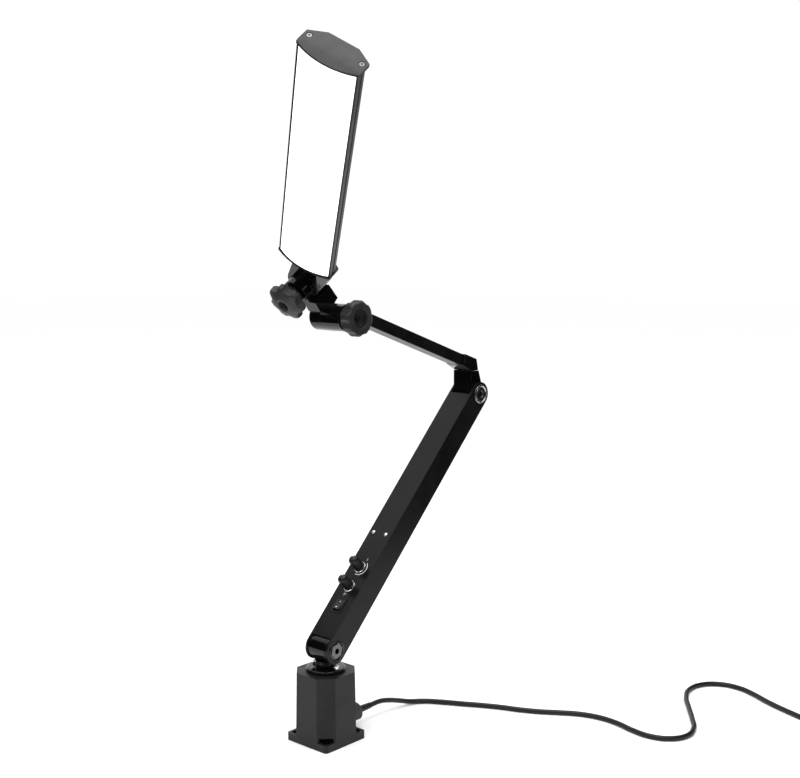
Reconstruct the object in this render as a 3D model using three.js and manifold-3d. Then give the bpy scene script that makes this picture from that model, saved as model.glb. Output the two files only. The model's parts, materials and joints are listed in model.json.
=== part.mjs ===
// Bench task light: a bolted base with a swivel, a folded lower arm that carries the controls,
// a slim upper arm, and a flat light head on two clamped hinges. Its mains lead lies on the bench.
// Millimetres, +Z up. The origin is the middle of the base's underside; the arms bend in the XZ plane.
import * as THREE from "three";
import { mergeVertices } from "three/addons/utils/BufferGeometryUtils.js";
import Module from "manifold-3d";

const wasm = await Module();
wasm.setup();

// ---------------------------------------------------------------- driving dimensions
const GAP = 0.3; // between pieces that touch
const DEG = Math.PI / 180;
const THROUGH = 200; // length of a cutter that passes right through
const ROUND = 22; // sides of a large cylinder
const SMALL_ROUND = 10; // sides of a small cylinder

const BASE_SIDE = 69;
const FOOT_HEIGHT = 9.5;
const FOOT_CORNER = 4;
const BLOCK_TOP = 88.7;
const CORNER_CUT = 16.6;
const BLOCK_DRAFT = 1.3; // how far each face leans in over the block's height
const MOUNT_HOLE_AT = 25.8;
const MOUNT_HOLE_R = 3.3;
const MOUNT_HEAD_R = 5.5;
const MOUNT_HEAD_DEPTH = 3;
const SCREW_RELIEF_R = 9;
const SCREW_RELIEF_TOP = 14.5;
const CAVITY_R = 22;
const CAVITY_TOP = 78;
const TOP_BORE_R = 14.5;
const PLATE_R = 26;
const PLATE_THICKNESS = 3;

const FLANGE_R = 24.5;
const FLANGE_TOP = 93.5;
const FLANGE_BEVEL = 1.5;
const FLANGE_BORE_R = 13;
const SPIGOT_BOTTOM = 79;
const FLANGE_SCREW_RING = 17.5;
const FLANGE_SCREW_ANGLES = [-90, 90];
const FLANGE_SCREW_HEAD = { radius: 4, height: 3.4, hex: 4 };
const BUSHING = { outer: 12.7, inner: 10.3, bottom: 80, top: 93 };

const POST_NECK_R = 10;
const POST_BOTTOM = 74;
const POST_FLARE_R = 13;
const KNUCKLE_R = 16.2;
const KNUCKLE_HALF = 14.5;
const PIVOT_Z = 116;
const PIVOT_PIN_R = 5;

const GLAND_Z = 20;
const GLAND_SHANK_R = 8;
const GLAND_FLATS = 22;
const GLAND_COLLAR_END = 40;
const GLAND_NUT_END = 57;
const RELIEF_END = 80;

const ARM_ELEVATION = 45.9;
const ARM_LENGTH = 402; // pivot to pivot
const ARM_HALF_WIDTH = 18.75;
const ARM_HALF_HEIGHT = 16.5;
const ARM_SIDE_WALL = 3;
const ARM_FACE_WALL = 2.5;
const ARM_FACE_START = 7.4;
const ARM_FACE_END = 389.2;
const ARM_BELLY_START = 24;
const ARM_BELLY_END = 378;
const CAP_R = 12.5;
const CAP_SEAT_DEPTH = 1.5;
const CAP_BEVEL = 0.9;
const DISC_R = 14;

const ROCKER_X = 52;
const ROCKER_SIZE = [20, 15];
const ROCKER_RIM = 1.8;
const DIMMER_X = 79;
const TONE_X = 107;
const POT_HOLE_R = 3.5;
const POT_SHAFT_R = 3;
const POT_KNOB_R = 7;
const POT_KNOB_HEIGHT = 19.5;
const PANEL_SCREW_X = 159;
const PANEL_SCREW_Y = 10.5;

const ELBOW_HALF = 15.2;
const ELBOW_R = 14.5;
const SWIVEL_X = 272;
const SWIVEL_SEAM = 437;
const SWIVEL_PIN_R = 5;

const UPPER_SLOPE = 19.35;
const UPPER_AT = [280.3, 442.6]; // x, z of the upper arm's own origin, on the tube's axis
const TUBE_WIDTH = 20.9;
const TUBE_HEIGHT = 15;
const TUBE_WALL = 1.5;
const TUBE_START = 32.1;
const TUBE_END = 245;
const SPIGOT_LENGTH = 18;

const TILT_AT = [13, 12.3, 522]; // on the tilt axis, in the middle of the link's width
const TILT_ANGLE = 37.6;
const TILT_R = 16.5;
const KNUCKLE_SPAN = [-28, 2.2];
const LINK_SPAN = [2.5, 18.5];
const STUD_R = 4;
const STUD_BORE_R = 4.4;
const LINK_HALF = 9.75;
const ROTATE_AT = [-8.9, 0, 52.3]; // on the rotate axis, in the link's frame
const ROTATE_ANGLE = 37.6;
const ROTATE_R = 16;

const BRACKET_R = 21.3;
const BRACKET_WALL = 3.5;
const BRACKET_SPAN = [5.2, 38];
const BRACKET_HALF_TOP = 15;
const PANEL_START = 40;
const PANEL_LENGTH = 320;
const PANEL_HALF = 35;
const PANEL_FRONT = 3.3;
const PANEL_SIDE_DEPTH = 17.5;
const PANEL_BACK_HALF = 17.4;
const PANEL_DEPTH = 27.5;
const PANEL_WALL = 2;
const DIFFUSER_BULGE = 7.5;
const END_CAP = 4;
const END_CAP_PROUD = 0.8;
const CAP_SCREW_AT = [16.8, 30];

const CORD_R = 3.25;
const CORD_LIE = 3.3; // height of the cord's middle where it lies on the bench
const COIL_AT = [477.5, -476];
const COIL_MEAN_R = 32.5;
const COIL_LIFT = 1.2;
const PLUG_X = 520;

// ---------------------------------------------------------------- materials
const finish = (color, roughness, metalness) => () =>
  new THREE.MeshStandardMaterial({ color, roughness, metalness });
const castBlack = finish(0x2a2b2d, 0.62, 0.1);
const sheetBlack = finish(0x252628, 0.5, 0.2);
const glossBlack = finish(0x101113, 0.22, 0.3);
const mouldedBlack = finish(0x222326, 0.48, 0);
const brightSteel = finish(0xc9cbce, 0.25, 1);
const darkSteel = finish(0x57595d, 0.35, 1);
const bronze = finish(0x9a7440, 0.4, 1);
const frictionGrey = finish(0x8e8f8c, 0.7, 0);
const opalWhite = finish(0xf6f7f8, 0.35, 0);
const boardWhite = finish(0xe9ebea, 0.5, 0);
const boardGreen = finish(0x1f5a3a, 0.5, 0);
const cordBlack = finish(0x1b1b1d, 0.55, 0);

// ---------------------------------------------------------------- solids
function toSolid(geometry) {
  const bare = geometry.clone();
  bare.deleteAttribute("normal");
  bare.deleteAttribute("uv");
  const merged = mergeVertices(bare, 1e-4);
  return new wasm.Manifold(
    new wasm.Mesh({
      numProp: 3,
      vertProperties: merged.attributes.position.array,
      triVerts: new Uint32Array(merged.index.array),
    }),
  );
}

function toGeometry(solid) {
  const mesh = solid.getMesh();
  const geometry = new THREE.BufferGeometry();
  geometry.setAttribute("position", new THREE.BufferAttribute(mesh.vertProperties, 3));
  geometry.setIndex(new THREE.BufferAttribute(mesh.triVerts, 1));
  geometry.computeVertexNormals();
  return geometry;
}

const join = (first, ...rest) =>
  toGeometry(rest.reduce((solid, piece) => solid.add(toSolid(piece)), toSolid(first)));
const cut = (first, ...rest) =>
  toGeometry(rest.reduce((solid, piece) => solid.subtract(toSolid(piece)), toSolid(first)));
const overlapOf = (first, second) => toGeometry(toSolid(first).intersect(toSolid(second)));

// A box between two values on each axis.
function box([x0, x1], [y0, y1], [z0, z1]) {
  const geometry = new THREE.BoxGeometry(x1 - x0, y1 - y0, z1 - z0);
  return geometry.translate((x0 + x1) / 2, (y0 + y1) / 2, (z0 + z1) / 2);
}

// A body of revolution about +Z, +Y or +X from [radius, height] pairs, outside going upwards.
function turned(pairs, axis = "z", sides = ROUND) {
  const points = pairs.map(([radius, height]) => new THREE.Vector2(radius, height));
  const geometry = new THREE.LatheGeometry(points, sides);
  if (axis === "z") geometry.rotateX(Math.PI / 2);
  if (axis === "x") geometry.rotateZ(-Math.PI / 2);
  return geometry;
}

// A cylinder from one value to another along an axis, or a ring where an inner radius is given.
function rod(radius, [from, to], axis = "z", sides = ROUND) {
  return turned([[0, from], [radius, from], [radius, to], [0, to]], axis, sides);
}

function ring(outer, inner, [from, to], axis = "z", sides = ROUND) {
  const wall = [[inner, from], [outer, from], [outer, to], [inner, to], [inner, from]];
  return turned(wall, axis, sides);
}

// A hexagonal prism, sized across its flats.
function hexagon(flats, span, axis = "z") {
  return rod(flats / 2 / Math.cos(30 * DEG), span, axis, 6);
}

function outline(points) {
  return new THREE.Shape(points.map(([x, y]) => new THREE.Vector2(x, y)));
}

// Prisms of a flat outline: drawn in XY and raised along Z, drawn in XZ and spread along Y,
// or drawn in YZ and spread along X.
function prismZ(shape, [from, to]) {
  const geometry = new THREE.ExtrudeGeometry(shape, { depth: to - from, bevelEnabled: false });
  return geometry.translate(0, 0, from);
}

function prismY(shape, [from, to]) {
  return prismZ(shape, [0, to - from]).rotateX(Math.PI / 2).translate(0, to, 0);
}

function prismX(shape, [from, to]) {
  return prismZ(shape, [0, to - from]).rotateX(Math.PI / 2).rotateZ(Math.PI / 2).translate(from, 0, 0);
}

// Points on an arc, both ends included.
function arc([x, y], radius, start, end, steps) {
  return Array.from({ length: steps + 1 }, (_, i) => {
    const angle = (start + ((end - start) * i) / steps) * DEG;
    return [x + radius * Math.cos(angle), y + radius * Math.sin(angle)];
  });
}

// The angle, in degrees, at which a line from a point outside touches a circle on its left or right.
function tangentAngle([cx, cy], radius, [px, py], side) {
  const distance = Math.hypot(px - cx, py - cy);
  const towards = Math.atan2(py - cy, px - cx);
  return (towards + side * Math.acos(radius / distance)) / DEG;
}

// A slab with a round end about a centre and straight sides that run to two far points.
function roundEnded(centre, radius, right, left, steps = 18) {
  const start = tangentAngle(centre, radius, left, 1);
  const end = tangentAngle(centre, radius, right, -1) + 360;
  return outline([right, left, ...arc(centre, radius, start, end, steps)]);
}

function node(parent, name, geometry, material, at = [0, 0, 0]) {
  const mesh = new THREE.Mesh(geometry, material());
  mesh.name = name;
  mesh.position.set(...at);
  parent.add(mesh);
  return mesh;
}

function frameIn(parent, at, rotation = [0, 0, 0]) {
  const group = new THREE.Group();
  group.position.set(...at);
  group.rotation.set(...rotation.map((angle) => angle * DEG));
  parent.add(group);
  return group;
}

const lamp = new THREE.Group();

// ---------------------------------------------------------------- base
const HALF = BASE_SIDE / 2;

function baseBlock() {
  const near = HALF - CORNER_CUT;
  const corners = [
    [HALF, -near], [HALF, near], [near, HALF], [-near, HALF],
    [-HALF, near], [-HALF, -near], [-near, -HALF], [near, -HALF],
  ];
  const geometry = prismZ(outline(corners), [0, BLOCK_TOP]);
  const position = geometry.getAttribute("position");
  for (let i = 0; i < position.count; i++) {
    const shrink = 1 - (BLOCK_DRAFT * position.getZ(i)) / (BLOCK_TOP * HALF);
    position.setXY(i, position.getX(i) * shrink, position.getY(i) * shrink);
  }
  return geometry;
}

function baseFoot() {
  const inner = HALF - FOOT_CORNER;
  const corner = (x, y, start) => arc([x, y], FOOT_CORNER, start, start + 90, 4);
  const points = [
    ...corner(inner, inner, 0), ...corner(-inner, inner, 90),
    ...corner(-inner, -inner, 180), ...corner(inner, -inner, 270),
  ];
  return prismZ(outline(points), [0, FOOT_HEIGHT]);
}

function onRing(radius, angle) {
  return [radius * Math.cos(angle * DEG), radius * Math.sin(angle * DEG)];
}

function baseHousing() {
  const headSeat = FOOT_HEIGHT - MOUNT_HEAD_DEPTH;
  const cutters = [
    rod(CAVITY_R, [-1, CAVITY_TOP]),
    rod(PLATE_R + GAP, [-1, PLATE_THICKNESS + GAP]),
    rod(TOP_BORE_R, [CAVITY_TOP - 1, BLOCK_TOP + 1]),
    rod(GLAND_SHANK_R + GAP, [CAVITY_R - 4, HALF + 1], "x", SMALL_ROUND).translate(0, 0, GLAND_Z),
  ];
  for (const x of [-MOUNT_HOLE_AT, MOUNT_HOLE_AT]) {
    for (const y of [-MOUNT_HOLE_AT, MOUNT_HOLE_AT]) {
      cutters.push(rod(MOUNT_HOLE_R, [-1, FOOT_HEIGHT], "z", SMALL_ROUND).translate(x, y, 0));
      cutters.push(rod(MOUNT_HEAD_R, [headSeat, FOOT_HEIGHT + 1], "z", SMALL_ROUND).translate(x, y, 0));
      const relief = rod(SCREW_RELIEF_R, [FOOT_HEIGHT, SCREW_RELIEF_TOP], "z", SMALL_ROUND);
      cutters.push(relief.translate(x, y, 0));
    }
  }
  for (const angle of FLANGE_SCREW_ANGLES) {
    const [x, y] = onRing(FLANGE_SCREW_RING, angle);
    cutters.push(rod(2.3, [80, BLOCK_TOP + 1], "z", 12).translate(x, y, 0));
  }
  return cut(join(baseBlock(), baseFoot()), ...cutters);
}

function swivelFlange() {
  const disc = BLOCK_TOP + GAP;
  const body = turned([
    [FLANGE_BORE_R, SPIGOT_BOTTOM], [TOP_BORE_R - GAP, SPIGOT_BOTTOM], [TOP_BORE_R - GAP, disc],
    [FLANGE_R, disc], [FLANGE_R, FLANGE_TOP - FLANGE_BEVEL], [FLANGE_R - FLANGE_BEVEL, FLANGE_TOP],
    [FLANGE_BORE_R, FLANGE_TOP], [FLANGE_BORE_R, SPIGOT_BOTTOM],
  ]);
  const holes = FLANGE_SCREW_ANGLES.map((angle) => {
    const [x, y] = onRing(FLANGE_SCREW_RING, angle);
    return rod(2.3, [BLOCK_TOP, FLANGE_TOP + 1], "z", 12).translate(x, y, 0);
  });
  return cut(body, ...holes);
}

// A socket-head screw with its head standing on z = 0 and its shank below.
function socketScrew({ radius, height, hex }, shankR, shankLength) {
  const body = turned([
    [0, -shankLength], [shankR, -shankLength], [shankR, 0], [radius, 0],
    [radius, height - 0.5], [radius - 0.5, height], [0, height],
  ], "z", SMALL_ROUND);
  return cut(body, hexagon(hex, [height * 0.4, height + 1]));
}

node(lamp, "base_housing", baseHousing(), castBlack);
node(lamp, "base_bottom_plate", rod(PLATE_R, [0, PLATE_THICKNESS]), darkSteel);
const terminalFloor = PLATE_THICKNESS + GAP;
const terminalTop = terminalFloor + 13;
const terminalHoles = [-7, 0, 7].map((y) =>
  rod(1.6, [terminalTop - 4, terminalTop + 1], "z", SMALL_ROUND).translate(-4, y, 0));
const terminalBody = box([-11, 3], [-11, 11], [terminalFloor, terminalTop]);
node(lamp, "base_terminal_block", cut(terminalBody, ...terminalHoles), boardWhite);
node(lamp, "swivel_flange", swivelFlange(), glossBlack);
const bushing = ring(BUSHING.outer, BUSHING.inner, [BUSHING.bottom, BUSHING.top]);
node(lamp, "swivel_bushing", bushing, bronze);
FLANGE_SCREW_ANGLES.forEach((angle, i) => {
  const [x, y] = onRing(FLANGE_SCREW_RING, angle);
  const screw = socketScrew(FLANGE_SCREW_HEAD, 2, 12);
  node(lamp, `flange_screw_${i + 1}`, screw, brightSteel, [x, y, FLANGE_TOP + GAP]);
});

// ---------------------------------------------------------------- cable gland and strain relief
const gland = frameIn(lamp, [0, 0, GLAND_Z]);
const glandStart = HALF + 0.1;
const glandBody = cut(
  join(
    rod(GLAND_SHANK_R, [24, glandStart + 1], "x", SMALL_ROUND),
    hexagon(GLAND_FLATS, [glandStart, GLAND_COLLAR_END], "x"),
    rod(7.5, [GLAND_COLLAR_END - 1, 47], "x", SMALL_ROUND),
  ),
  rod(4.2, [20, 50], "x", SMALL_ROUND),
);
node(gland, "cable_gland_body", glandBody, mouldedBlack);
const glandDome = turned([
  [0, GLAND_COLLAR_END + GAP], [12.7, GLAND_COLLAR_END + GAP], [12.7, 50],
  [11.5, 53.5], [9, 56], [7, GLAND_NUT_END], [0, GLAND_NUT_END],
], "x");
const glandNut = cut(
  overlapOf(glandDome, hexagon(GLAND_FLATS, [GLAND_COLLAR_END, GLAND_NUT_END + 1], "x")),
  rod(7.8, [GLAND_COLLAR_END - 1, 50], "x", SMALL_ROUND),
  rod(5, [40, GLAND_NUT_END + 1], "x", SMALL_ROUND),
);
node(gland, "cable_gland_nut", glandNut, mouldedBlack);
const relief = turned([
  [0, 47.4], [7.3, 47.4], [7.3, 49.5], [4.6, 49.6],
  [4.6, GLAND_NUT_END + 2], [3.7, RELIEF_END], [0, RELIEF_END],
], "x", SMALL_ROUND);
node(gland, "strain_relief", relief, cordBlack);

// ---------------------------------------------------------------- mains lead
// The lead leaves the gland level, sinks to the bench, and wanders to its coil.
const CORD_ROUTE = [
  [RELIEF_END + GAP, 0, GLAND_Z], [98, 0, 20], [117, 0, 16], [137, 0, 9.6], [154, -3, 4.4],
  [169, -13, CORD_LIE], [182, -32, CORD_LIE], [195, -56, CORD_LIE], [208, -79, CORD_LIE],
  [220, -103, CORD_LIE], [230, -128, CORD_LIE], [242, -151, CORD_LIE], [256, -172, CORD_LIE],
  [269, -194, CORD_LIE], [276, -219, CORD_LIE], [275, -247, CORD_LIE], [268, -274, CORD_LIE],
  [266, -300, CORD_LIE], [276, -322, CORD_LIE], [297, -333, CORD_LIE], [324, -328, CORD_LIE],
  [353, -310, CORD_LIE], [384, -288, CORD_LIE], [415, -267, CORD_LIE], [444, -256, CORD_LIE],
  [472, -260, CORD_LIE], [490, -279, CORD_LIE], [493, -305, CORD_LIE], [484, -331, CORD_LIE],
  [472, -354, CORD_LIE], [462, -377, CORD_LIE], [454, -399, CORD_LIE], [447, -420, CORD_LIE],
  [443, -438, CORD_LIE + 0.6], [441.75, -453.5, CORD_LIE + 1.1],
];

function cordTube(points, steps, sides = 8) {
  const stations = points.map((point) => new THREE.Vector3(...point));
  const path = new THREE.CatmullRomCurve3(stations, false, "centripetal");
  const section = outline(arc([0, 0], CORD_R, 0, 360 - 360 / sides, sides - 1));
  return new THREE.ExtrudeGeometry(section, { steps, extrudePath: path, bevelEnabled: false });
}

const [coilX, coilY] = COIL_AT;
const coilInner = COIL_MEAN_R - 2 * CORD_R;
const coilOuter = COIL_MEAN_R + 2 * CORD_R;
const coilTop = COIL_LIFT + 4 * CORD_R;
node(lamp, "cable_lead", cordTube(CORD_ROUTE, 60), cordBlack);
const coil = ring(coilOuter, coilInner, [COIL_LIFT, coilTop]);
node(lamp, "cable_coil", coil, cordBlack, [coilX, coilY, 0]);

// The tie is a strap round the coil's turns.
const TIE_WIDTH = 12;
const TIE_THICKNESS = 0.9;
const tieIn = coilInner - 1.1; // clear of the coil's curve across the strap's width
const tieOut = coilOuter + GAP;
const tieLeft = tieIn - TIE_THICKNESS;
const tieRight = tieOut + TIE_THICKNESS;
const tieTop = coilTop + GAP + TIE_THICKNESS;
const tieOuter = outline([[tieLeft, 0], [tieRight, 0], [tieRight, tieTop], [tieLeft, tieTop]]);
const tieHole = box([tieIn, tieOut], [-TIE_WIDTH, TIE_WIDTH], [COIL_LIFT - GAP, coilTop + GAP]);
const tie = cut(prismY(tieOuter, [-TIE_WIDTH / 2, TIE_WIDTH / 2]), tieHole);
node(lamp, "cable_tie", tie.rotateZ(40 * DEG), mouldedBlack, [coilX, coilY, 0]);

// The lead leaves the coil's upper layer, and ends in a flat two-pin plug that lies beside it.
const tailY = coilY - COIL_MEAN_R - CORD_R;
const PLUG_MIDDLE_Z = 6.9;
const PLUG_HALF_WIDTH = 17.6;
const PLUG_BODY = [PLUG_X + 13, PLUG_X + 47];
const PIN_PITCH = 18.6;
const tailRoute = [
  [coilX + 22.5, tailY, coilTop - CORD_R - 0.8],
  [PLUG_X - 9, tailY, PLUG_MIDDLE_Z + 0.7],
  [PLUG_X - 2 * GAP, tailY, PLUG_MIDDLE_Z],
];
node(lamp, "cable_tail", cordTube(tailRoute, 4), cordBlack);
const plug = frameIn(lamp, [0, tailY, PLUG_MIDDLE_Z]);
const plugOutline = outline([
  [PLUG_BODY[0] - 1, -6], [PLUG_BODY[0] + 8, -11], [PLUG_BODY[0] + 18, -PLUG_HALF_WIDTH],
  [PLUG_BODY[1], -PLUG_HALF_WIDTH], [PLUG_BODY[1], PLUG_HALF_WIDTH],
  [PLUG_BODY[0] + 18, PLUG_HALF_WIDTH], [PLUG_BODY[0] + 8, 11], [PLUG_BODY[0] - 1, 6],
]);
const plugNose = turned([
  [0, PLUG_X], [4, PLUG_X], [5.6, PLUG_BODY[0] + 4], [0, PLUG_BODY[0] + 4],
], "x", 16);
const pinSeats = [-1, 1].map((side) =>
  rod(2 + GAP, [PLUG_BODY[1] - 6, PLUG_BODY[1] + 1], "x", 12).translate(0, (side * PIN_PITCH) / 2, 0));
const plugShell = prismZ(plugOutline, [-6.85, 6.85]);
node(plug, "plug_body", cut(join(plugShell, plugNose), ...pinSeats), mouldedBlack);
[-1, 1].forEach((side, i) => {
  const pinProfile = [[0, -5.7], [2, -5.7], [2, 18], [1.2, 19], [0, 19]];
  const pin = turned(pinProfile, "x", 12);
  node(plug, `plug_pin_${i + 1}`, pin, brightSteel, [PLUG_BODY[1], (side * PIN_PITCH) / 2, 0]);
});

// ---------------------------------------------------------------- turret
const boreTop = 104;
const hubBottom = FLANGE_TOP + GAP;
const neck = turned([
  [0, boreTop], [4, boreTop], [4, POST_BOTTOM], [POST_NECK_R, POST_BOTTOM], [POST_NECK_R, 75.7],
  [9, 75.7], [9, 77.9], [POST_NECK_R, 77.9], [POST_NECK_R, hubBottom], [POST_FLARE_R, hubBottom],
  [POST_FLARE_R, PIVOT_Z], [0, PIVOT_Z],
]);
const knuckle = rod(KNUCKLE_R, [-KNUCKLE_HALF, KNUCKLE_HALF], "y").translate(0, 0, PIVOT_Z);
const pivotBore = rod(PIVOT_PIN_R + GAP, [-THROUGH, THROUGH], "y", SMALL_ROUND);
const post = cut(join(neck, knuckle), pivotBore.clone().translate(0, 0, PIVOT_Z));
node(lamp, "swivel_post", post, glossBlack);
node(lamp, "swivel_lock_ring", ring(12.6, 9.3, [76, 77.6]), darkSteel);

// ---------------------------------------------------------------- lower arm
const arm = frameIn(lamp, [0, 0, PIVOT_Z], [0, -ARM_ELEVATION, 0]);
const faceInside = ARM_HALF_HEIGHT - ARM_FACE_WALL;
const sideInside = ARM_HALF_WIDTH - ARM_SIDE_WALL;

function lowerArmTube() {
  const ends = [
    ...arc([ARM_LENGTH, 0], ARM_HALF_HEIGHT, -90, 90, 18),
    ...arc([0, 0], ARM_HALF_HEIGHT, 90, 270, 18),
  ];
  const sides = [-1, 1].map((side) => {
    const span = [sideInside * side, ARM_HALF_WIDTH * side].sort((a, b) => a - b);
    return prismY(outline(ends), span);
  });
  const inner = sideInside + 0.5;
  const face = box([ARM_FACE_START, ARM_FACE_END], [-inner, inner], [faceInside, ARM_HALF_HEIGHT]);
  const belly = box([ARM_BELLY_START, ARM_BELLY_END], [-inner, inner], [-ARM_HALF_HEIGHT, -faceInside]);
  const seats = [0, ARM_LENGTH].flatMap((x) => [-1, 1].map((side) => {
    const span = [(ARM_HALF_WIDTH - CAP_SEAT_DEPTH) * side, (ARM_HALF_WIDTH + 1) * side];
    return rod(CAP_R + GAP, span.sort((a, b) => a - b), "y").translate(x, 0, 0);
  }));
  const [rockerLength, rockerWidth] = ROCKER_SIZE;
  const rockerHole = box(
    [ROCKER_X - rockerLength / 2 + 1, ROCKER_X + rockerLength / 2 - 1],
    [-rockerWidth / 2 + 1, rockerWidth / 2 - 1], [0, ARM_HALF_HEIGHT + 1]);
  const potHoles = [DIMMER_X, TONE_X].map((x) =>
    rod(POT_HOLE_R, [0, ARM_HALF_HEIGHT + 1], "z", SMALL_ROUND).translate(x, 0, 0));
  const screwHoles = [-1, 1].map((side) =>
    rod(1.8, [0, ARM_HALF_HEIGHT + 1], "z", 12).translate(PANEL_SCREW_X, PANEL_SCREW_Y * side, 0));
  return cut(
    join(...sides, face, belly),
    rod(KNUCKLE_R + 0.6, [-sideInside, sideInside], "y"),
    pivotBore,
    pivotBore.clone().translate(ARM_LENGTH, 0, 0),
    ...seats, rockerHole, ...potHoles, ...screwHoles,
  );
}

// A pivot screw has a broad cap with a hexagon socket; its nut is the same cap on the far side.
const capInside = ARM_HALF_WIDTH - CAP_SEAT_DEPTH + GAP;
const capOutside = capInside + 2.2;

function pivotCap(socket) {
  const cap = turned([
    [0, capInside], [CAP_R, capInside], [CAP_R, capOutside - CAP_BEVEL],
    [CAP_R - CAP_BEVEL, capOutside], [0, capOutside],
  ], "y");
  return cut(cap, socket);
}

function pivotBolt() {
  const socket = hexagon(8, [capOutside - 1.7, capOutside + 1], "y");
  const shank = rod(PIVOT_PIN_R, [-capInside + 0.8, capInside + 0.1], "y", SMALL_ROUND);
  return join(pivotCap(socket), shank).rotateZ(Math.PI);
}

function pivotNut() {
  return pivotCap(hexagon(8, [capOutside - 1.7, capOutside + 1], "y"));
}

node(arm, "lower_arm_tube", lowerArmTube(), sheetBlack);
[["lower_pivot", 0], ["elbow", ARM_LENGTH]].forEach(([name, x]) => {
  node(arm, `${name}_bolt`, pivotBolt(), darkSteel, [x, 0, 0]);
  node(arm, `${name}_nut`, pivotNut(), darkSteel, [x, 0, 0]);
});
[-1, 1].forEach((side, i) => {
  const span = [(KNUCKLE_HALF + GAP) * side, (sideInside - GAP) * side].sort((a, b) => a - b);
  const disc = ring(DISC_R, PIVOT_PIN_R + GAP, span, "y");
  node(arm, `friction_disc_${i + 1}`, disc, frictionGrey);
});

// Rocker switch: a bezel that stands on the face, and the key that tips in it.
const bezelTop = ARM_HALF_HEIGHT + GAP + 1;
const ROCKER_AXIS_Z = ARM_HALF_HEIGHT - 1.5;
const ROCKER_KEY_HALF = [8.1, 5.4];

function rockerHousing() {
  const [length, width] = ROCKER_SIZE;
  const bezel = box(
    [-length / 2, length / 2], [-width / 2, width / 2],
    [ARM_HALF_HEIGHT + GAP, bezelTop]);
  const body = box(
    [-length / 2 + 1.3, length / 2 - 1.3], [-width / 2 + 1.3, width / 2 - 1.3],
    [1, ARM_HALF_HEIGHT + GAP + 0.5]);
  const well = box(
    [-length / 2 + ROCKER_RIM - 0.3, length / 2 - ROCKER_RIM + 0.3],
    [-width / 2 + ROCKER_RIM, width / 2 - ROCKER_RIM], [5.5, bezelTop + 1]);
  return cut(join(bezel, body), well);
}

// The key's top is a shallow V, with one end pressed down.
function rockerKey() {
  const [half, halfWidth] = ROCKER_KEY_HALF;
  const key = outline([
    [-half + 1.2, -4], [half - 1.2, -4], [half - 0.2, 2.6],
    [0.4, 3.4], [-half + 0.7, 5.6], [-half + 0.9, 2],
  ]);
  return prismY(key, [-halfWidth, halfWidth]);
}

node(arm, "rocker_housing", rockerHousing(), mouldedBlack, [ROCKER_X, 0, 0]);
node(arm, "rocker_key", rockerKey(), mouldedBlack, [ROCKER_X, 0, ROCKER_AXIS_Z]);

// Two rotary controls, each a potentiometer under the face, its collar nut above, and a push-on knob.
const COLLAR_R = 8;
const collarBottom = ARM_HALF_HEIGHT + GAP;
const collarTop = collarBottom + 2;
const knobBottom = collarTop + 0.4;
const knobTop = knobBottom + POT_KNOB_HEIGHT;

function potentiometer() {
  const can = rod(8.2, [4.5, faceInside - GAP], "z", SMALL_ROUND);
  const stem = rod(POT_SHAFT_R + 0.2, [5, collarTop], "z", SMALL_ROUND);
  const shaft = rod(POT_SHAFT_R, [5, knobBottom + 8], "z", SMALL_ROUND);
  return join(can, stem, shaft);
}

function potKnob() {
  const knob = turned([
    [0, knobBottom], [POT_KNOB_R, knobBottom], [POT_KNOB_R, knobTop - 3.6],
    [POT_KNOB_R - 2, knobTop - 0.8], [0, knobTop],
  ], "z", 16);
  return cut(knob, rod(POT_SHAFT_R + GAP, [0, knobBottom + 8.5], "z", SMALL_ROUND));
}

[["dimmer", DIMMER_X], ["tone", TONE_X]].forEach(([name, x]) => {
  const collar = ring(COLLAR_R, POT_SHAFT_R + 0.5, [collarBottom, collarTop], "z");
  node(arm, `${name}_pot`, potentiometer(), darkSteel, [x, 0, 0]);
  node(arm, `${name}_pot_nut`, collar, brightSteel, [x, 0, 0]);
  node(arm, `${name}_knob`, potKnob(), mouldedBlack, [x, 0, 0]);
});

// The driver board hangs under the face on two spacers, held by two small screws.
const BOARD_TOP = 6.6;
const boardSlab = box([130, 210], [-13, 13], [BOARD_TOP - 1.6, BOARD_TOP]);
const boardParts = [
  box([170, 188], [-8, 8], [-4, BOARD_TOP - 1]),
  box([192, 206], [-11, 3], [-7, BOARD_TOP - 1]),
  box([134, 146], [-10, 10], [-3, BOARD_TOP - 1]),
];
const spacers = [-1, 1].map((side) => {
  const spacer = rod(3.4, [BOARD_TOP - 1, faceInside - GAP], "z", 12);
  return spacer.translate(PANEL_SCREW_X, PANEL_SCREW_Y * side, 0);
});
const spacerBores = [-1, 1].map((side) =>
  rod(1.8, [8, faceInside + 1], "z", 12).translate(PANEL_SCREW_X, PANEL_SCREW_Y * side, 0));
const driver = cut(join(boardSlab, ...boardParts, ...spacers), ...spacerBores);
node(arm, "driver_board", driver, boardGreen);
[-1, 1].forEach((side, i) => {
  const screw = turned([
    [0, -7.5], [1.4, -7.5], [1.4, 0], [2.7, 0], [2.4, 1], [1.4, 1.6], [0, 1.8],
  ], "z", 12);
  const at = [PANEL_SCREW_X, PANEL_SCREW_Y * side, ARM_HALF_HEIGHT + GAP];
  node(arm, `panel_screw_${i + 1}`, screw, brightSteel, at);
});

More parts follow.
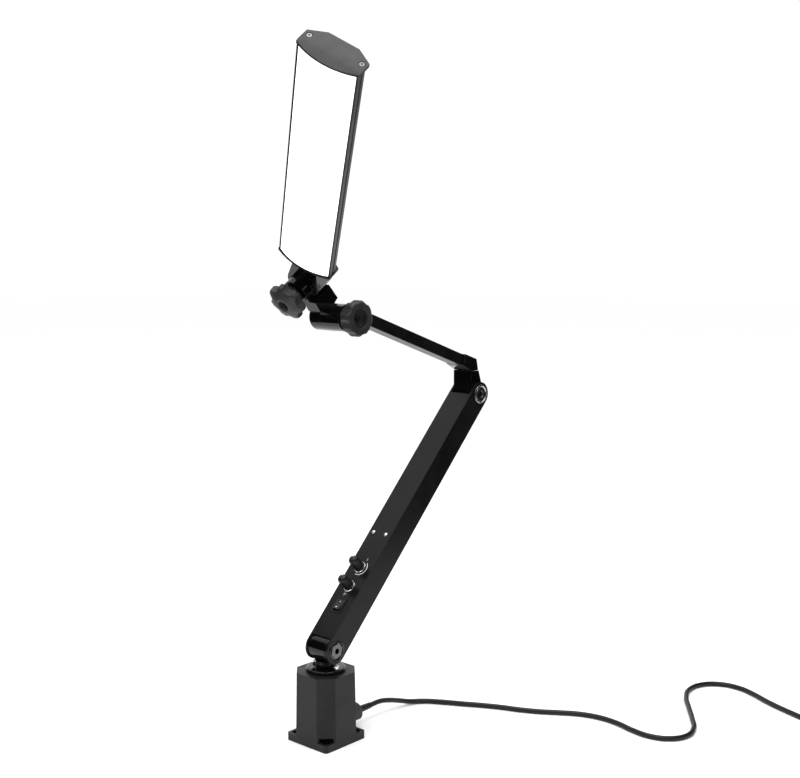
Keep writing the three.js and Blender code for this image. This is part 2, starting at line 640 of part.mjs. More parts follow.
// ---------------------------------------------------------------- elbow
const ELBOW = [
  ARM_LENGTH * Math.cos(ARM_ELEVATION * DEG),
  PIVOT_Z + ARM_LENGTH * Math.sin(ARM_ELEVATION * DEG),
];
const [elbowX, elbowZ] = ELBOW;
const SEAM_LEFT = 264;
const SEAM_RIGHT = 279.9;
const seamBelow = SWIVEL_SEAM - GAP / 2;
const seamAbove = SWIVEL_SEAM + GAP;
const elbowOutline = outline([
  [elbowX + ELBOW_R, elbowZ], [286, 419], [SEAM_RIGHT, seamBelow], [SEAM_LEFT, seamBelow],
  [SEAM_LEFT, elbowZ + 9.9], [elbowX - ELBOW_R, elbowZ],
]);
const elbowRound = rod(ELBOW_R, [-ELBOW_HALF, ELBOW_HALF], "y").translate(elbowX, 0, elbowZ);
const pinFloor = 416.5;
const elbowBlock = cut(
  join(prismY(elbowOutline, [-ELBOW_HALF, ELBOW_HALF]), elbowRound),
  pivotBore.clone().translate(elbowX, 0, elbowZ),
  rod(SWIVEL_PIN_R + GAP, [pinFloor, THROUGH * 3], "z", SMALL_ROUND).translate(SWIVEL_X, 0, 0),
);
node(lamp, "elbow_block", elbowBlock, glossBlack);
const pinTop = 448;
const swivelPin = rod(SWIVEL_PIN_R, [pinFloor + GAP, pinTop], "z", SMALL_ROUND);
node(lamp, "elbow_swivel_pin", swivelPin, brightSteel, [SWIVEL_X, 0, 0]);

// ---------------------------------------------------------------- upper arm
// Its own frame has +X towards the elbow along the tube and +Z square to it.
const [upperX, upperZ] = UPPER_AT;
const upper = frameIn(lamp, [upperX, 0, upperZ], [0, UPPER_SLOPE, 0]);
const slopeCos = Math.cos(UPPER_SLOPE * DEG);
const slopeSin = Math.sin(UPPER_SLOPE * DEG);
const intoUpper = ([x, z]) => [
  (x - upperX) * slopeCos - (z - upperZ) * slopeSin,
  (x - upperX) * slopeSin + (z - upperZ) * slopeCos,
];
const tubeHalf = TUBE_HEIGHT / 2;
const tubeHalfWidth = TUBE_WIDTH / 2;
const plugHalf = tubeHalf - TUBE_WALL - GAP;
const plugHalfWidth = tubeHalfWidth - TUBE_WALL - GAP;

// The part of an end piece that fits inside the tube.
function spigotBlock(span) {
  return box(span, [-plugHalfWidth, plugHalfWidth], [-plugHalf, plugHalf]);
}

const END_PIECE_HALF = 14.6;
const END_PIECE_TOP = tubeHalf + 0.7;

function upperArmEndPiece() {
  const seam = -TUBE_START + GAP;
  const side = outline([
    intoUpper([SEAM_LEFT, seamAbove]), intoUpper([SEAM_RIGHT, seamAbove]),
    [-6.8, END_PIECE_TOP], [seam, END_PIECE_TOP], [seam, -tubeHalf],
  ]);
  const spigot = spigotBlock([seam - SPIGOT_LENGTH, seam + 2]);
  const bore = rod(SWIVEL_PIN_R + GAP, [SWIVEL_SEAM - 10, pinTop + 0.5], "z", SMALL_ROUND);
  bore.translate(SWIVEL_X - upperX, 0, -upperZ).rotateY(-UPPER_SLOPE * DEG);
  return cut(join(prismY(side, [-END_PIECE_HALF, END_PIECE_HALF]), spigot), bore);
}

function upperArmTube() {
  const span = [-TUBE_END, -TUBE_START];
  const outer = box(span, [-tubeHalfWidth, tubeHalfWidth], [-tubeHalf, tubeHalf]);
  const hollow = box(
    [span[0] - 1, span[1] + 1],
    [-tubeHalfWidth + TUBE_WALL, tubeHalfWidth - TUBE_WALL],
    [-tubeHalf + TUBE_WALL, tubeHalf - TUBE_WALL]);
  return cut(outer, hollow);
}

function tiltKnuckle() {
  const centre = intoUpper([TILT_AT[0], TILT_AT[2]]);
  const face = -TUBE_END - GAP;
  const neckShape = roundEnded(centre, TILT_R, [face, -tubeHalf], [face, tubeHalf], 24);
  const barrel = rod(TILT_R, KNUCKLE_SPAN, "y").translate(centre[0], 0, centre[1]);
  const endPlate = box([face - 3, face], [-tubeHalfWidth, tubeHalfWidth], [-tubeHalf, tubeHalf]);
  const spigot = spigotBlock([face - 1, face + SPIGOT_LENGTH]);
  const bore = rod(STUD_BORE_R, [-THROUGH, THROUGH], "y", SMALL_ROUND);
  bore.translate(centre[0], 0, centre[1]);
  const neckBlock = prismY(neckShape, [-tubeHalfWidth, KNUCKLE_SPAN[1]]);
  return cut(join(neckBlock, barrel, endPlate, spigot), bore);
}

node(upper, "upper_arm_end_piece", upperArmEndPiece(), glossBlack);
node(upper, "upper_arm_tube", upperArmTube(), sheetBlack);
node(upper, "tilt_knuckle", tiltKnuckle(), glossBlack);

// ---------------------------------------------------------------- head link
// Its own frame sits on the tilt axis. +Z rises to the rotate axis and -X points to the rotate knob.
const link = frameIn(lamp, TILT_AT, [0, -TILT_ANGLE, 0]);
const tiltY = TILT_AT[1];
const [rotateX, , rotateZ] = ROTATE_AT;
const LINK_BARREL = [rotateX - 9.6, rotateX + 4.5];
const SLAB = { left: -15, root: -8, right: 25.1, bottom: 8.3, top: 30.5 };

function headLink() {
  const body = outline([
    [SLAB.root, SLAB.bottom], [SLAB.right - 12, SLAB.bottom - 2], [SLAB.right, SLAB.bottom + 0.5],
    [SLAB.right - 2, SLAB.top], [LINK_BARREL[1], SLAB.top],
    [LINK_BARREL[1], rotateZ], [SLAB.left, rotateZ], [SLAB.left, SLAB.top + 4],
    [SLAB.root, SLAB.top - 3],
  ]);
  const span = LINK_SPAN.map((y) => y - tiltY);
  const headSeat = 12 - tiltY;
  return cut(
    join(
      prismY(body, [-LINK_HALF, LINK_HALF]),
      rod(TILT_R, span, "y"),
      rod(ROTATE_R, LINK_BARREL, "x").translate(0, 0, rotateZ),
    ),
    rod(STUD_BORE_R, [-THROUGH, THROUGH], "y", SMALL_ROUND),
    rod(8, [headSeat, span[1] + 6], "y", SMALL_ROUND),
    rod(TILT_R + 0.2, [span[1], span[1] + 6], "y"),
    rod(STUD_BORE_R, [-THROUGH, THROUGH], "x", SMALL_ROUND).translate(0, 0, rotateZ),
  );
}

const linkEnd = LINK_SPAN[1] - tiltY + GAP;
const endCap = turned([
  [0, linkEnd - 0.9], [7.4, linkEnd - 0.9], [7.4, linkEnd], [TILT_R - 0.2, linkEnd],
  [TILT_R - 0.3, linkEnd + 1.4], [TILT_R - 1.6, linkEnd + 2.9], [TILT_R - 4.5, linkEnd + 3.7],
  [0, linkEnd + 4],
], "y");
const tiltStud = join(
  rod(STUD_R, [-44 - tiltY, 13 - tiltY], "y", SMALL_ROUND),
  hexagon(12.5, [12.3 - tiltY, 17.3 - tiltY], "y"),
);
const WASHER = [KNUCKLE_SPAN[0] - 1.9, KNUCKLE_SPAN[0] - GAP];
node(link, "head_link", headLink(), glossBlack);
node(link, "tilt_end_cap", endCap, glossBlack);
node(link, "tilt_stud", tiltStud, darkSteel);
node(link, "tilt_washer", ring(14, STUD_BORE_R, WASHER.map((y) => y - tiltY), "y"), darkSteel);

// A hand knob: a turned body with scallops cut round its rim and a stud bore.
function starKnob(profile, { lobes, scallopR, scallopAt, boreR, boreSpan }) {
  const scallops = Array.from({ length: lobes }, (_, i) => {
    const [x, z] = onRing(scallopAt, ((i + 0.5) * 360) / lobes);
    return rod(scallopR, [-THROUGH, THROUGH], "y").translate(x, 0, z);
  });
  return cut(turned(profile, "y", 35), ...scallops, rod(boreR, boreSpan, "y", SMALL_ROUND));
}

const TILT_KNOB_R = 21.5;
const tiltKnobBack = WASHER[0] - GAP;
const tiltKnobFront = -50;
const tiltKnob = starKnob([
  [0, tiltKnobFront + 9], [11.5, tiltKnobFront + 8], [11.5, tiltKnobFront],
  [TILT_KNOB_R - 2.5, tiltKnobFront], [TILT_KNOB_R, tiltKnobFront + 2.5],
  [TILT_KNOB_R, tiltKnobBack - 7], [TILT_KNOB_R - 3, tiltKnobBack - 4],
  [12.5, tiltKnobBack - 3], [12.5, tiltKnobBack], [0, tiltKnobBack],
], { lobes: 8, scallopR: 8, scallopAt: 27.3, boreR: STUD_BORE_R, boreSpan: [-THROUGH, THROUGH] });
node(link, "tilt_knob", tiltKnob, mouldedBlack, [0, -tiltY, 0]);

// ---------------------------------------------------------------- light head
// Its own frame sits on the rotate axis: +Z runs up the panel, -X is the way the light faces.
const head = frameIn(link, ROTATE_AT, [ROTATE_ANGLE, 0, 0]);

const ROTATE_KNOB_R = 23.8;
const ROTATE_KNOB_FRONT = -34.6;

function headBracket() {
  const top = PANEL_START - GAP;
  const outer = roundEnded([0, 0], BRACKET_R, [BRACKET_HALF_TOP, top], [-BRACKET_HALF_TOP, top]);
  const innerHalf = BRACKET_HALF_TOP - BRACKET_WALL - 0.5;
  const innerTop = top - BRACKET_WALL;
  const inner = roundEnded(
    [0, 0], BRACKET_R - BRACKET_WALL, [innerHalf, innerTop], [-innerHalf, innerTop]);
  return cut(
    prismX(outer, BRACKET_SPAN),
    prismX(inner, [BRACKET_SPAN[0] + 5, BRACKET_SPAN[1] + 1]),
    rod(STUD_R + GAP, [0, BRACKET_SPAN[1]], "x", SMALL_ROUND),
  );
}

const rotateStud = join(
  rod(STUD_R, [ROTATE_KNOB_FRONT + 6, BRACKET_SPAN[0] + 6], "x", SMALL_ROUND),
  hexagon(13, [BRACKET_SPAN[0] + 5 + GAP, BRACKET_SPAN[0] + 11], "x"),
);
node(head, "head_bracket", headBracket(), glossBlack);
node(head, "rotate_stud", rotateStud, darkSteel);

const knobBack = ROTATE_KNOB_FRONT + 24.6;
const rotateKnob = starKnob([
  [0, ROTATE_KNOB_FRONT], [10.5, ROTATE_KNOB_FRONT], [ROTATE_KNOB_R - 2, ROTATE_KNOB_FRONT + 4.5],
  [ROTATE_KNOB_R, ROTATE_KNOB_FRONT + 6.5], [ROTATE_KNOB_R, ROTATE_KNOB_FRONT + 13.5],
  [14, knobBack - 7.1], [12, knobBack - 2.1], [8, knobBack - 2.1], [8, knobBack], [0, knobBack],
], { lobes: 7, scallopR: 9, scallopAt: 28.8, boreR: STUD_BORE_R, boreSpan: [-THROUGH, THROUGH] });
const knobRecess = rod(6.5, [ROTATE_KNOB_FRONT - 1, ROTATE_KNOB_FRONT + 5], "y", SMALL_ROUND);
node(head, "rotate_knob", cut(rotateKnob, knobRecess).rotateZ(-Math.PI / 2), mouldedBlack);

const panelSpan = [PANEL_START + END_CAP + GAP, PANEL_START + PANEL_LENGTH - END_CAP - GAP];
const panelBack = PANEL_FRONT + PANEL_DEPTH;
const panelSide = PANEL_FRONT + PANEL_SIDE_DEPTH;
const [screwX, screwY] = CAP_SCREW_AT;

// The housing is an open channel with a groove along each side and two screw bosses inside.
function panelHousing() {
  const groove = 0.8;
  const outer = [
    [PANEL_FRONT, PANEL_HALF], [PANEL_FRONT + 6, PANEL_HALF], [PANEL_FRONT + 6.5, PANEL_HALF - groove],
    [PANEL_FRONT + 8.5, PANEL_HALF - groove], [PANEL_FRONT + 9, PANEL_HALF], [panelSide, PANEL_HALF],
    [panelBack, PANEL_BACK_HALF],
  ];
  const inner = [
    [PANEL_FRONT - 1, PANEL_HALF - PANEL_WALL], [panelSide - 1.16, PANEL_HALF - PANEL_WALL],
    [panelBack - PANEL_WALL, PANEL_BACK_HALF - 0.53],
  ];
  const mirrored = (points) => [...points, ...points.map(([x, y]) => [x, -y]).reverse()];
  const bosses = [-1, 1].map((side) =>
    rod(3.1, panelSpan, "z", 16).translate(screwX, screwY * side, 0));
  const bossHoles = [-1, 1].map((side) => {
    const through = [panelSpan[0] - 1, panelSpan[1] + 1];
    return rod(1.7, through, "z", 12).translate(screwX, screwY * side, 0);
  });
  const hollow = prismZ(outline(mirrored(inner)), [panelSpan[0] - 1, panelSpan[1] + 1]);
  const shell = cut(prismZ(outline(mirrored(outer)), panelSpan), hollow);
  return cut(join(shell, ...bosses), ...bossHoles);
}

// An arc across the panel's front with a given half chord and rise.
function bulge(front, half, rise, steps) {
  const radius = (half * half + rise * rise) / (2 * rise);
  const spread = Math.asin(half / radius) / DEG;
  return arc([front + radius - rise, 0], radius, 180 - spread, 180 + spread, steps);
}

function diffuserSheet() {
  const half = PANEL_HALF - PANEL_WALL - GAP;
  const foot = PANEL_FRONT + 6;
  const wall = 2;
  const outer = bulge(PANEL_FRONT, half, DIFFUSER_BULGE, 16);
  const inner = bulge(PANEL_FRONT, half - wall, DIFFUSER_BULGE - wall, 16).reverse();
  const sheet = outline([
    [foot, half], ...outer, [foot, -half], [foot, -half + wall], ...inner, [foot, half - wall],
  ]);
  return prismZ(sheet, [panelSpan[0] + GAP, panelSpan[1] - GAP]);
}

function ledBoard() {
  const board = box([12, 13.4], [-31, 31], [panelSpan[0] + 4, panelSpan[1] - 4]);
  const pitch = (panelSpan[1] - panelSpan[0]) / 9;
  const chips = [-1, 1].flatMap((side) => Array.from({ length: 8 }, (_, i) => {
    const z = panelSpan[0] + pitch * (i + 1);
    return box([11, 12.5], [side * 14 - 2.5, side * 14 + 2.5], [z - 2.5, z + 2.5]);
  }));
  return join(board, ...chips);
}

// An end cap follows the housing and the diffuser, and slopes away towards the front.
function endCapPlate(inside, outside) {
  const half = PANEL_HALF + END_CAP_PROUD;
  const back = panelBack + END_CAP_PROUD;
  const shape = outline([
    [panelSide + 0.45, half], ...bulge(PANEL_FRONT, half, DIFFUSER_BULGE + END_CAP_PROUD, 18),
    [panelSide + 0.45, -half], [back, -PANEL_BACK_HALF - 0.2], [back, PANEL_BACK_HALF + 0.2],
  ]);
  const outward = Math.sign(outside - inside);
  const crease = PANEL_FRONT + 4;
  const slope = outline([
    [crease, outside], [crease - 20, outside - 3.2 * outward], [crease - 20, outside + 5 * outward],
    [crease, outside + 5 * outward],
  ]);
  const seat = [outside - 1.8 * outward, outside + outward].sort((a, b) => a - b);
  const holes = [-1, 1].flatMap((side) => [
    rod(3.3, seat, "z", 16).translate(screwX, screwY * side, 0),
    rod(1.8, [-THROUGH, THROUGH * 3], "z", 12).translate(screwX, screwY * side, 0),
  ]);
  const span = [inside, outside].sort((a, b) => a - b);
  return cut(prismZ(shape, span), prismY(slope, [-THROUGH, THROUGH]), ...holes);
}

const headEnds = { bottom: PANEL_START, top: PANEL_START + PANEL_LENGTH };
node(head, "panel_housing", panelHousing(), sheetBlack);
node(head, "diffuser", diffuserSheet(), opalWhite);
node(head, "led_board", ledBoard(), boardWhite);
node(head, "end_cap_bottom", endCapPlate(headEnds.bottom + END_CAP, headEnds.bottom), castBlack);
node(head, "end_cap_top", endCapPlate(headEnds.top - END_CAP, headEnds.top), castBlack);

// Cap screws sit just below the caps' faces.
[["bottom", headEnds.bottom, 180], ["top", headEnds.top, 0]].forEach(([end, z, turn]) => {
  [-1, 1].forEach((side, i) => {
    const screw = cut(
      turned([
        [0, -12], [1.4, -12], [1.4, -1.5], [3, -1.5], [3, -0.6], [2.4, -0.3], [0, -0.3],
      ], "z", 16),
      hexagon(2.5, [-1.1, 1]),
    );
    const at = [screwX, screwY * side, z];
    const placed = node(head, `cap_screw_${end}_${i + 1}`, screw, brightSteel, at);
    placed.rotation.x = turn * DEG;
  });
});

export default lamp;
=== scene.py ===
import json
import math

import bmesh
import bpy
from mathutils import Matrix, Vector

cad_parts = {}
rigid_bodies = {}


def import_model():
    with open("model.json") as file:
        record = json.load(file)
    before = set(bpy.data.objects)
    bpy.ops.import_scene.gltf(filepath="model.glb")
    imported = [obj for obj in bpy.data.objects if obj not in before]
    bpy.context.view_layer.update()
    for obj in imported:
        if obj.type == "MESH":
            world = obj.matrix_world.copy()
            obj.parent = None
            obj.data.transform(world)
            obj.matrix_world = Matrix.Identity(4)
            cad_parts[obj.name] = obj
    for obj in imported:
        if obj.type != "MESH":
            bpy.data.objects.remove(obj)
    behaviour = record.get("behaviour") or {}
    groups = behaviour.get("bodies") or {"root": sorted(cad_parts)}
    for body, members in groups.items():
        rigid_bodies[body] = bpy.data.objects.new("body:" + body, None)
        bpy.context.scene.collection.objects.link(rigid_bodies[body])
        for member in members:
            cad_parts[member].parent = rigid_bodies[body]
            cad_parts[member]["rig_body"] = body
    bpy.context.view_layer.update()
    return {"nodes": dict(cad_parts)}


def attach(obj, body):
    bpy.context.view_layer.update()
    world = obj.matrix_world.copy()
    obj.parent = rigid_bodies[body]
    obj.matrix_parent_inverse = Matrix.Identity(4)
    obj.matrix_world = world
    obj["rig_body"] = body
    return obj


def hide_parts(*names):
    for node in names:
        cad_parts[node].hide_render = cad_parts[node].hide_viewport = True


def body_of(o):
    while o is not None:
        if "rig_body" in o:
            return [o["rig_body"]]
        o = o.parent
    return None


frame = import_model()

MM = 0.001
NODES = frame["nodes"]

# ---------------------------------------------------------------- camera
CAMERA_AT = Vector((-1.06203, -1.06970, 0.62392))
CAMERA_RIGHT = Vector((0.66567, -0.74625, 0))
CAMERA_UP = Vector((0.09236, 0.08238, 0.99231))
CAMERA_FORWARD = Vector((0.74051, 0.66055, -0.12376))
camera_data = bpy.data.cameras.new("camera")
camera_data.lens = 57.03
camera_data.sensor_width = 36
camera_data.clip_start = 0.05
camera = bpy.data.objects.new("camera", camera_data)
bpy.context.collection.objects.link(camera)
axes = Matrix((CAMERA_RIGHT, CAMERA_UP, -CAMERA_FORWARD)).transposed().to_4x4()
camera.matrix_world = Matrix.Translation(CAMERA_AT) @ axes
bpy.context.scene.camera = camera
bpy.context.scene.view_settings.view_transform = "Standard"

# ---------------------------------------------------------------- frames of the moving parts, in mm
PIVOT_Z = 116
ARM_ELEVATION = 45.9
ARM_LENGTH = 402
TILT_Y = 12.3
TILT_AT = (13, TILT_Y, 522)
LINK_LEAN = 37.6
ROTATE_AT = (-8.9, 0, 52.3)
PANEL_TURN = 37.6


def turn(angle, axis):
    return Matrix.Rotation(math.radians(angle), 4, axis)


WORLD = Matrix.Identity(4)
ARM = Matrix.Translation((0, 0, PIVOT_Z)) @ turn(-ARM_ELEVATION, "Y")
ELBOW = ARM @ Matrix.Translation((ARM_LENGTH, 0, 0))
LINK = Matrix.Translation(TILT_AT) @ turn(-LINK_LEAN, "Y")
HEAD = LINK @ Matrix.Translation(ROTATE_AT) @ turn(PANEL_TURN, "X")


# ---------------------------------------------------------------- materials
class Finish:
    """A node material with helpers that add nodes and join them."""

    def __init__(self, name):
        self.material = bpy.data.materials.new(name)
        self.material.use_nodes = True
        self.tree = self.material.node_tree
        self.shader = self.tree.nodes["Principled BSDF"]
        self.place = self.add("ShaderNodeTexCoord").outputs["Object"]

    def add(self, kind, **values):
        made = self.tree.nodes.new(kind)
        for key, value in values.items():
            setattr(made, key, value)
        return made

    def join(self, start, end):
        self.tree.links.new(start, end)

    def set(self, **values):
        for key, value in values.items():
            self.shader.inputs[key.replace("_", " ")].default_value = value

    def noise(self, scale, detail=3, rough=0.5):
        made = self.add("ShaderNodeTexNoise")
        made.inputs["Scale"].default_value = scale
        made.inputs["Detail"].default_value = detail
        made.inputs["Roughness"].default_value = rough
        self.join(self.place, made.inputs["Vector"])
        return made.outputs["Fac"]

    def spread(self, source, low, high, start=0.3, end=0.7):
        made = self.add("ShaderNodeMapRange")
        made.inputs["From Min"].default_value = start
        made.inputs["From Max"].default_value = end
        made.inputs["To Min"].default_value = low
        made.inputs["To Max"].default_value = high
        self.join(source, made.inputs["Value"])
        return made.outputs["Result"]

    def blend(self, factor, first, second):
        made = self.add("ShaderNodeMix", data_type="RGBA")
        for index, value in ((6, first), (7, second)):
            if hasattr(value, "is_linked"):
                self.join(value, made.inputs[index])
            else:
                made.inputs[index].default_value = (*value, 1)
        self.join(factor, made.inputs[0])
        return made.outputs[2]

    def edges(self, amount):
        """Where the surface turns sharply within half a millimetre, broken up by a noise."""
        rounded = self.add("ShaderNodeBevel", samples=4)
        rounded.inputs["Radius"].default_value = 0.5 * MM
        likeness = self.add("ShaderNodeVectorMath", operation="DOT_PRODUCT")
        self.join(rounded.outputs["Normal"], likeness.inputs[0])
        self.join(self.add("ShaderNodeNewGeometry").outputs["Normal"], likeness.inputs[1])
        turned = self.spread(likeness.outputs["Value"], amount, 0, 0.8, 0.98)
        product = self.add("ShaderNodeMath", operation="MULTIPLY")
        self.join(turned, product.inputs[0])
        self.join(self.spread(self.noise(180, 4), 0.1, 1, 0.4, 0.6), product.inputs[1])
        return product.outputs[0]

    def bump(self, source, depth):
        made = self.add("ShaderNodeBump")
        made.inputs["Distance"].default_value = depth
        self.join(source, made.inputs["Height"])
        self.join(made.outputs["Normal"], self.shader.inputs["Normal"])


def coat(name, colour, rough, grain=900, depth=0.00002, wear=(0.06, 0.06, 0.06), gloss=0.0, spec=0.5):
    """Paint, plastic or rubber: colour clouds, a grain in the surface, and paler worn edges."""
    made = Finish(name)
    darker = [c * 0.78 for c in colour]
    lighter = [c * 1.2 + 0.002 for c in colour]
    base = made.blend(made.spread(made.noise(22, 4), 0, 1), darker, lighter)
    base = made.blend(made.edges(0.5), base, wear)
    made.join(base, made.shader.inputs["Base Color"])
    made.join(made.spread(made.noise(75, 5), rough - 0.04, rough + 0.05), made.shader.inputs["Roughness"])
    made.bump(made.noise(grain, 2, 0.6), depth)
    made.set(Coat_Weight=gloss, Coat_Roughness=0.08)
    made.shader.inputs["Specular IOR Level"].default_value = spec
    return made.material


def bare_metal(name, colour, rough):
    """Turned or plated metal: fine drawn lines, smudges and brighter edges."""
    made = Finish(name)
    stretch = made.add("ShaderNodeMapping")
    stretch.inputs["Scale"].default_value = (1, 1, 12)
    made.join(made.place, stretch.inputs["Vector"])
    lines = made.add("ShaderNodeTexNoise")
    lines.inputs["Scale"].default_value = 400
    lines.inputs["Detail"].default_value = 4
    made.join(stretch.outputs["Vector"], lines.inputs["Vector"])
    dull = [c * 0.8 for c in colour]
    base = made.blend(made.spread(made.noise(60, 4), 0, 1), colour, dull)
    base = made.blend(made.edges(0.7), base, [min(1, c * 1.25) for c in colour])
    made.join(base, made.shader.inputs["Base Color"])
    made.join(made.spread(lines.outputs["Fac"], rough - 0.05, rough + 0.1), made.shader.inputs["Roughness"])
    made.bump(lines.outputs["Fac"], 0.00002)
    made.set(Metallic=1.0)
    return made.material


def glowing(name, strength):
    """The lit opal sheet: faint clouds in its white and a fine satin grain."""
    made = Finish(name)
    tone = made.blend(made.spread(made.noise(9, 2), 0, 1), (0.96, 0.97, 1.0), (1, 1, 1))
    made.join(tone, made.shader.inputs["Base Color"])
    made.join(tone, made.shader.inputs["Emission Color"])
    made.join(made.spread(made.noise(40, 3), 0.3, 0.42), made.shader.inputs["Roughness"])
    made.bump(made.noise(1400, 2), 0.00001)
    made.set(Emission_Strength=strength)
    return made.material


INK = (0.0015, 0.0015, 0.0015)
CAST = coat("cast black paint", (0.006, 0.006, 0.0063), 0.4, grain=1500, depth=0.00003, spec=0.24)
SHEET = coat("powder coat", (0.0025, 0.0025, 0.0027), 0.33, grain=2200, depth=0.00001, spec=0.21)
GLOSS = coat("gloss black", INK, 0.12, grain=1200, depth=0.000002, gloss=0.15, spec=0.25)
MOULDED = coat("moulded black", (0.005, 0.005, 0.0052), 0.36, grain=1800, depth=0.00001, spec=0.35)
KNOB = coat("knob plastic", (0.019, 0.019, 0.0195), 0.42, grain=1500, depth=0.00003, spec=0.25)
# Painted shade: a darker, less glossy copy of the cast black paint, used only on the lower end cap.
SHADE = coat("end cap painted shade", (0.003, 0.003, 0.0032), 0.3, grain=1800, depth=0.00001, spec=0.08)
RUBBER = coat("cord jacket", (0.005, 0.005, 0.0052), 0.42, grain=1300, depth=0.00001, spec=0.3)
BRIGHT = bare_metal("bright steel", (0.8, 0.8, 0.82), 0.2)
DARK = bare_metal("darkened steel", (0.16, 0.16, 0.17), 0.33)
BRONZE = bare_metal("bronze", (0.5, 0.3, 0.12), 0.4)
GREY = coat("friction lining", (0.24, 0.24, 0.23), 0.7, grain=700, depth=0.00005)
BOARD_WHITE = coat("white board", (0.78, 0.8, 0.79), 0.5, wear=(0.85, 0.85, 0.85))
BOARD_GREEN = coat("green board", (0.02, 0.14, 0.06), 0.45, wear=(0.2, 0.35, 0.2))
OPAL = glowing("lit opal", 1.15)
PRINT = coat("white print", (0.7, 0.7, 0.7), 0.5, wear=(0.8, 0.8, 0.8))

FINISHES = {
    "cast_black": CAST, "sheet_black": SHEET, "gloss_black": GLOSS, "moulded_black": MOULDED,
    "bright_steel": BRIGHT, "dark_steel": DARK, "bronze": BRONZE, "friction_grey": GREY,
    "opal_white": OPAL, "board_white": BOARD_WHITE, "board_green": BOARD_GREEN, "cord_black": RUBBER,
}
# Painted shade: the lower end cap gets a darker, less glossy copy of the caps' black paint than the upper
# one.
SHADED_CAP_FINISH = {"end_cap_bottom": SHADE}


# ---------------------------------------------------------------- shapes, in mm
def lathe(pairs, axis="z", at=(0, 0, 0), sides=72, radius_at=None):
    """A turned body from (radius, height) pairs. radius_at(radius, angle) may trim it to a lobed rim."""
    points = []
    rows = []
    for radius, height in pairs:
        if radius == 0:
            rows.append([len(points)])
            points.append((0, 0, height))
            continue
        rows.append([len(points) + k for k in range(sides)])
        for k in range(sides):
            angle = 2 * math.pi * k / sides
            r = radius_at(radius, angle) if radius_at else radius
            points.append((r * math.cos(angle), r * math.sin(angle), height))
    faces = []
    for low, high in zip(rows, rows[1:]):
        for k in range(sides):
            n = (k + 1) % sides
            if len(low) == 1:
                faces.append((low[0], high[n], high[k]))
            elif len(high) == 1:
                faces.append((low[k], low[n], high[0]))
            else:
                faces.append((low[k], low[n], high[n], high[k]))
    swing = {"z": WORLD, "y": turn(-90, "X"), "x": turn(90, "Y")}[axis]
    move = Matrix.Translation(at) @ swing
    return [move @ Vector(p) for p in points], faces


def prism(outline, span, axis="z"):
    """A slab with a flat outline: (x, y) raised along z, (x, z) along y, or (y, z) along x."""
    place = {
        "z": lambda p, h: (p[0], p[1], h),
        "y": lambda p, h: (p[0], h, p[1]),
        "x": lambda p, h: (h, p[0], p[1]),
    }[axis]
    n = len(outline)
    points = [Vector(place(p, span[0])) for p in outline] + [Vector(place(p, span[1])) for p in outline]
    faces = [tuple(range(n))[::-1], tuple(range(n, 2 * n))]
    faces += [(k, (k + 1) % n, n + (k + 1) % n, n + k) for k in range(n)]
    return points, faces


def block(xs, ys, zs):
    """A square-edged bar between two values of each axis."""
    return prism([(xs[0], ys[0]), (xs[1], ys[0]), (xs[1], ys[1]), (xs[0], ys[1])], zs)


def arc(centre, radius, start, end, steps):
    """Points along an arc, with its angles in degrees."""
    out = []
    for k in range(steps + 1):
        angle = math.radians(start + (end - start) * k / steps)
        out.append((centre[0] + radius * math.cos(angle), centre[1] + radius * math.sin(angle)))
    return out


def finish_mesh(obj, bevel, segments, angle):
    """Break the sharp edges and keep the flats flat."""
    obj.data.shade_smooth()
    if bevel:
        soft = obj.modifiers.new("edges", "BEVEL")
        soft.width = bevel * MM
        soft.segments = segments
        soft.limit_method = "ANGLE"
        soft.angle_limit = math.radians(angle)
        soft.use_clamp_overlap = True
        soft.harden_normals = False
    smooth = obj.modifiers.new("shading", "WEIGHTED_NORMAL")
    smooth.keep_sharp = True
    smooth.weight = 80


def piece(name, shapes, frame_of, body, covers=(), finish=None, bevel=0.4, segments=3, angle=30):
    """One finished object from several shapes, standing for the CAD nodes that it covers."""
    work = bmesh.new()
    for points, faces in shapes:
        made = [work.verts.new((frame_of @ p) * MM) for p in (Vector(q) for q in points)]
        for face in faces:
            work.faces.new([made[i] for i in face])
    bmesh.ops.remove_doubles(work, verts=work.verts, dist=0.001 * MM)
    bmesh.ops.recalc_face_normals(work, faces=work.faces)
    mesh = bpy.data.meshes.new(name)
    work.to_mesh(mesh)
    work.free()
    obj = bpy.data.objects.new(name, mesh)
    bpy.context.collection.objects.link(obj)
    obj.data.materials.append(finish)
    finish_mesh(obj, bevel, segments, angle)
    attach(obj, body)
    if covers:
        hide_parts(*covers)
    return obj


def refined(node, slot, bevel=0.4, segments=3, angle=30):
    """A CAD node's own shape with its flats merged and its edges broken."""
    source = NODES[node]
    mesh = source.data.copy()
    mesh.transform(source.matrix_world)
    work = bmesh.new()
    work.from_mesh(mesh)
    bmesh.ops.remove_doubles(work, verts=work.verts, dist=0.00001)
    bmesh.ops.dissolve_limit(work, angle_limit=math.radians(1), verts=work.verts, edges=work.edges)
    bmesh.ops.recalc_face_normals(work, faces=work.faces)
    work.to_mesh(mesh)
    work.free()
    mesh.materials.clear()
    mesh.materials.append(SHADED_CAP_FINISH.get(node, FINISHES[slot]))
    obj = bpy.data.objects.new(node + "_finished", mesh)
    bpy.context.collection.objects.link(obj)
    finish_mesh(obj, bevel, segments, angle)
    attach(obj, body_of(source)[0])
    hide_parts(node)
    return obj


